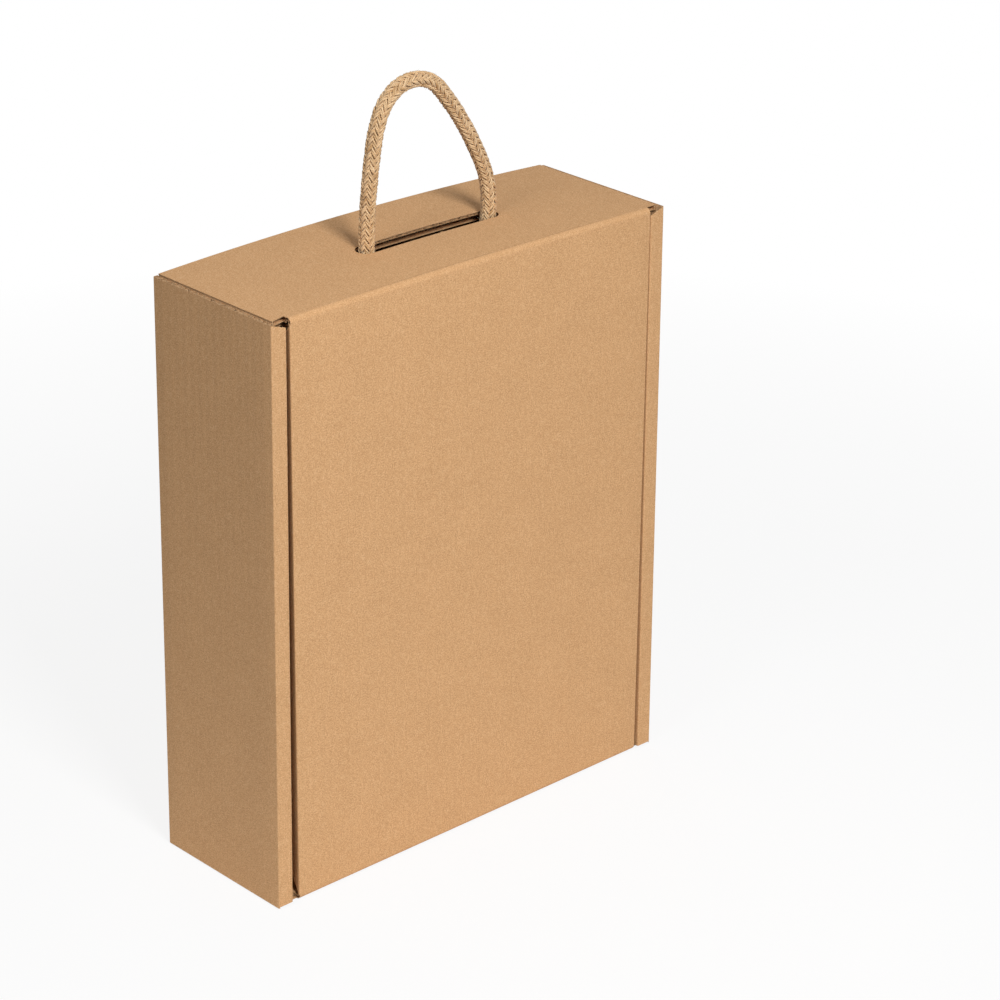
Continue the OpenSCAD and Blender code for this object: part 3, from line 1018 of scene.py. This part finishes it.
def nick_keys(u):
    return [0 * u - SLOT_R + reach for reach in NICK_REACH]


flap_columns = spread((-FLAP_HALF, 0), (FLAP_HALF, 40)) + slot_columns() + list(LID_ENDS)
flap_sheet = flap_columns, flap_keys, [1, 1, 5, 1, 7], flap_keep, flap_place
flap_layers = board(*flap_sheet, FLAP_HALF + FLUTE / 2, flap_fluted)
flap_layers += slot_rims()
for side in (-1, 1):
    shut_columns = [side * (FLAP_HALF - inset) for inset in SHUT_IN]
    side_edge = shut_columns, side_edge_keys, [9], everywhere, flap_place
    flap_layers.append(closed_layer(*side_edge, *BETWEEN_LINERS, ON_CUT))
nick = np.linspace(*NICK_X, 3), nick_keys, [1], everywhere, flap_place
flap_layers.append(closed_layer(*nick, level_at(0), level_at(NICK_THICK), ON_LINER))
flap = board_piece("flap_board", flap_layers)
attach(flap, "closing_flap")
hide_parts("closing_flap")

# %% [markdown]
# A crease is where the board is crushed along a line and bends. Each crease here is a short length of both
# liners, with a quarter round outside and a crushed, nearly straight line inside, between the two mitred
# ends.

# %% Folds
FOLD_STEPS = 12
CRUSHED_INSIDE = [(2.0, 1.0), (1.5, 0.7), (0.75, 0.65)]


def fold_sections():
    """Outlines of the two liners in a fold: (in from the first face, in from the second)."""
    turn = np.linspace(0, math.pi / 2, FOLD_STEPS + 1)
    arc = np.stack([np.cos(turn), np.sin(turn)], -1)
    ends = np.array([(BOARD + LINER, LINER), (LINER, BOARD + LINER)])
    outer = np.concatenate([BOARD * (1 - arc), ends[:1], BOARD - (BOARD - LINER) * arc[::-1], ends[1:]])
    path = np.array(CRUSHED_INSIDE + [(b, a) for a, b in CRUSHED_INSIDE[::-1]]) * BOARD
    inner = np.concatenate([path, path[::-1] - LINER])
    return outer, inner


def fold_piece(name, columns, corner):
    """Extrude the fold along X; corner(x) gives the outer corner's y and z and which way is in."""
    parts, finishes = [], []
    for section in fold_sections():
        sides = len(section)
        points, coords = [], []
        for x in columns:
            y, z, in_z = corner(x)
            way = z + section[:, 0] - section[:, 1]
            points.append(np.stack([np.full(sides, x), y + section[:, 0], z + in_z * section[:, 1]], -1))
            coords.append(np.stack([np.full(sides, x), way, np.zeros(sides)], -1))
        faces = tube_faces(len(columns), sides)
        if corner(0.0)[2] < 0:
            faces = [face[::-1] for face in faces]
        marks = np.full(len(faces), ON_LINER)
        marks[-2:] = ON_CUT
        parts.append((np.concatenate(points), faces, np.concatenate(coords)))
        finishes.append(marks)
    return piece_from(name, parts, "sheet", board_finishes, finishes, CREASE_ANGLE)


EDGE_IN = 0.4
top_fold = fold_piece(
    "top_fold",
    np.linspace(LID_ENDS[0] + EDGE_IN, LID_ENDS[1] - EDGE_IN, 33),
    lambda x: (-HALF_D, crease_top(x), -1),
)
foot_fold = fold_piece(
    "foot_fold",
    np.linspace(LID_ENDS[0] + EDGE_IN, LID_ENDS[1] - EDGE_IN, 9),
    lambda x: (-HALF_D, 0.0, 1),
)
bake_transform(top_fold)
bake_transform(foot_fold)

# %% [markdown]
# The floor is one flat sheet, white to the camera. For the camera most of its brightness is a white that
# takes no light, so the ground stays clean and still shows a soft shadow. Its own colour is painted dark
# away from the box, a painted
# pool of light: only the ground close to the box throws light back at it, as a small lit table would, which
# lights the foot of the panels more than their top. The world is white to look at too and much dimmer as a
# light, so that the board keeps its colour.

# %% Floor and world
SHOWN_WHITE = 0.86
PAINTED_POOL_NEAR, PAINTED_POOL_FAR = 0.30, 0.90
AMBIENT = 0.24
FLOOR_REACH, FLOOR_DROP = 9.0, 0.0004


def seen_directly(tree):
    """One where the camera, a reflection or a clear surface looks straight at the background."""
    path = add_node(tree, "ShaderNodeLightPath")
    total = math_node(tree, "ADD", path.outputs["Is Camera Ray"], path.outputs["Is Glossy Ray"])
    made = add_node(tree, "ShaderNodeMath", operation="ADD", use_clamp=True)
    join(tree, total, made.inputs[0])
    join(tree, path.outputs["Is Transmission Ray"], made.inputs[1])
    return made.outputs[0]


def floor_finish():
    made, tree, shader = new_material("studio_floor")
    ground = add_node(tree, "ShaderNodeTexCoord").outputs["Object"]
    away = add_node(tree, "ShaderNodeVectorMath", operation="LENGTH")
    join(tree, ground, away.inputs[0])
    far = remap(tree, away.outputs["Value"], PAINTED_POOL_NEAR, PAINTED_POOL_FAR)
    paper = tint(tree, noise(tree, ground, 30.0), (0.90, 0.90, 0.90, 1), (0.92, 0.92, 0.92, 1))
    # painted pool of light: the floor's own colour falls from pale to dark grey away from the box, so only
    # the near ground throws light back
    join(tree, tint(tree, far, paper, (0.16, 0.16, 0.16, 1)), shader.inputs["Base Color"])
    shader.inputs["Roughness"].default_value = 0.95
    shader.inputs["Specular IOR Level"].default_value = 0.0
    white = add_node(tree, "ShaderNodeEmission", {"Color": (1, 1, 1, 1), "Strength": 1.0})
    mix = add_node(tree, "ShaderNodeMixShader")
    shown = remap(tree, far, 0.0, 1.0, SHOWN_WHITE, 1.0)
    join(tree, math_node(tree, "MULTIPLY", seen_directly(tree), shown), mix.inputs[0])
    join(tree, shader.outputs[0], mix.inputs[1])
    join(tree, white.outputs[0], mix.inputs[2])
    join(tree, mix.outputs[0], tree.nodes["Material Output"].inputs["Surface"])
    return made


floor_mesh = bpy.data.meshes.new("floor")
corners = [(FLOOR_REACH * x, FLOOR_REACH * y, -FLOOR_DROP) for x, y in ((-1, -1), (1, -1), (1, 1), (-1, 1))]
floor_mesh.from_pydata(corners, [], [(0, 1, 2, 3)])
floor_mesh.materials.append(floor_finish())
floor = bpy.data.objects.new("floor", floor_mesh)
bpy.context.collection.objects.link(floor)

world = bpy.data.worlds.new("studio")
world.use_nodes = True
bpy.context.scene.world = world
background = world.node_tree.nodes["Background"]
background.inputs["Color"].default_value = (1, 1, 1, 1)
level_of_light = remap(world.node_tree, seen_directly(world.node_tree), 0.0, 1.0, AMBIENT, 1.0)
join(world.node_tree, level_of_light, background.inputs["Strength"])
bpy.context.scene.view_settings.view_transform = "Standard"
print("floor", 2 * FLOOR_REACH, "m wide, ambient light", AMBIENT)

# %% [markdown]
# Three soft lamps light the box. The strongest stands close in front of the lid, a little to the left, so
# the lid grows darker to the right and the cord's shadow falls back over the top. A weaker one stands on
# the left, lights the side panel and throws the second shadow to the right. The third stands low behind
# the box and lights only its back and its right side. All are large, so the shadows have soft edges.

# %% Lamps
def lamp(name, place, target, power, size):
    light = bpy.data.lights.new(name, "AREA")
    light.energy = power
    light.size = size
    made = bpy.data.objects.new(name, light)
    made.location = place
    made.rotation_euler = (Vector(target) - Vector(place)).to_track_quat("-Z", "Y").to_euler()
    bpy.context.collection.objects.link(made)
    print(name, power, "W at", place)


lamp("front_lamp", (-0.35, -1.2, 1.25), (0, 0, 0.2), 20.5, 0.45)
lamp("left_lamp", (-1.6, -0.4, 1.8), (0, 0, 0.2), 6.5, 0.5)
lamp("back_lamp", (0.9, 1.6, 0.25), (0, 0, 0.15), 8.0, 0.4)
